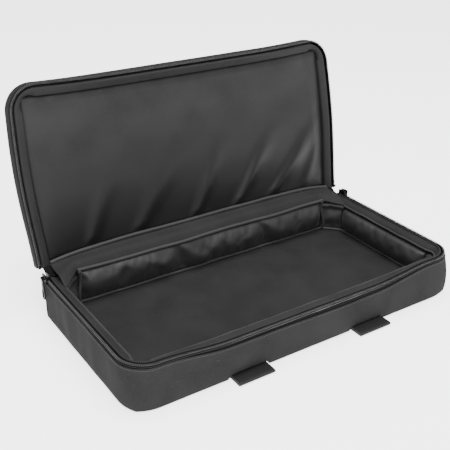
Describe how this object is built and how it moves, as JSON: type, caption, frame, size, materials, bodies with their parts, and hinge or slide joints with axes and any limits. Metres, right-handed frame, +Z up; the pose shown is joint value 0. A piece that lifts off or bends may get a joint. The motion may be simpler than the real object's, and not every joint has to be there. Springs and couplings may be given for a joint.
{
  "type": "pedalboard carry case",
  "caption": "Soft padded zip case for a pedalboard: shallow lined tray, hinged padded lid standing open, zip sliders with pulls and webbing carry handles.",
  "frame": {"origin": "middle of the tray's underside, on the surface the case stands on", "axes": "+X to the right along the case's length, +Y from the front to the hinge, +Z up"},
  "size_m": [0.4812, 0.3231, 0.2776],
  "materials": {
    "nylon": "woven nylon, dull",
    "facing": "woven nylon, dull",
    "lining": "smooth woven nylon, slight sheen",
    "binding": "woven tape",
    "webbing": "heavy woven webbing",
    "foam": "closed-cell foam",
    "board": "matt sheet",
    "zip_tape": "fine woven tape",
    "zip_coil": "moulded nylon, satin",
    "black_metal": "black, semi-gloss"
  },
  "bodies": {
    "tray": {"base_panel": "nylon", "outer_wall": "nylon", "back_panel": "nylon", "base_foam": "foam", "base_board": "board", "wall_foam": "foam", "back_foam": "foam", "floor_lining": "lining", "left_lining": "lining", "front_lining": "lining", "right_lining": "lining", "back_lining": "lining", "corner_gusset_left": "lining", "corner_gusset_right": "lining", "floor_binding": "binding", "corner_binding_left": "binding", "corner_binding_right": "binding", "back_binding": "binding", "rim_facing": "facing", "rim_binding": "binding", "tray_zip_tape": "zip_tape", "tray_zip_coil": "zip_coil", "tray_zip_stops": "black_metal", "hinge_roll": "nylon", "base_strap_left": "webbing", "base_strap_right": "webbing"},
    "lid": {"lid_panel": "nylon", "lid_wall": "nylon", "lid_spine": "nylon", "lid_board": "board", "lid_foam": "foam", "lid_rim_facing": "facing", "lid_lining": "lining", "hinge_facing": "facing", "hinge_binding": "binding", "hinge_flap": "nylon", "lid_zip_tape": "zip_tape", "lid_zip_coil": "zip_coil", "lid_zip_stops": "black_metal", "lid_strap_left": "webbing", "lid_strap_right": "webbing"},
    "slider_left": {"slider_left": "black_metal"},
    "slider_right": {"slider_right": "black_metal"},
    "pull_left": {"pull_left": "black_metal"},
    "pull_right": {"pull_right": "black_metal"},
    "base_handle": {"base_handle": "webbing"},
    "lid_handle": {"lid_handle": "webbing"}
  },
  "joints": [
    {"name": "lid_hinge", "type": "hinge", "parent": "tray", "child": "lid", "pos_m": [0, 0.111, 0.056], "axis": [-1, 0, 0], "range_deg": [-102, 78]},
    {"name": "slider_left_slide", "type": "slide", "parent": "tray", "child": "slider_left", "axis": [0, -1, 0], "range_m": [0, 0.176]},
    {"name": "slider_right_slide", "type": "slide", "parent": "tray", "child": "slider_right", "axis": [0, -1, 0], "range_m": [0, 0.176]},
    {"name": "pull_left_swing", "type": "hinge", "parent": "slider_left", "child": "pull_left", "pos_m": [-0.2387, 0.1005, 0.0612], "axis": [0, 1, 0], "range_deg": [0, 170]},
    {"name": "pull_right_swing", "type": "hinge", "parent": "slider_right", "child": "pull_right", "pos_m": [0.2387, 0.1005, 0.0612], "axis": [0, -1, 0], "range_deg": [0, 170]},
    {"name": "base_handle_swing", "type": "hinge", "parent": "tray", "child": "base_handle", "pos_m": [0, -0.1305, 0.0027], "axis": [1, 0, 0], "range_deg": [-270, 0]},
    {"name": "lid_handle_swing", "type": "hinge", "parent": "lid", "child": "lid_handle", "pos_m": [0, 0.18841, 0.26242], "axis": [1, 0, 0], "range_deg": [-10, 165]}
  ]
}
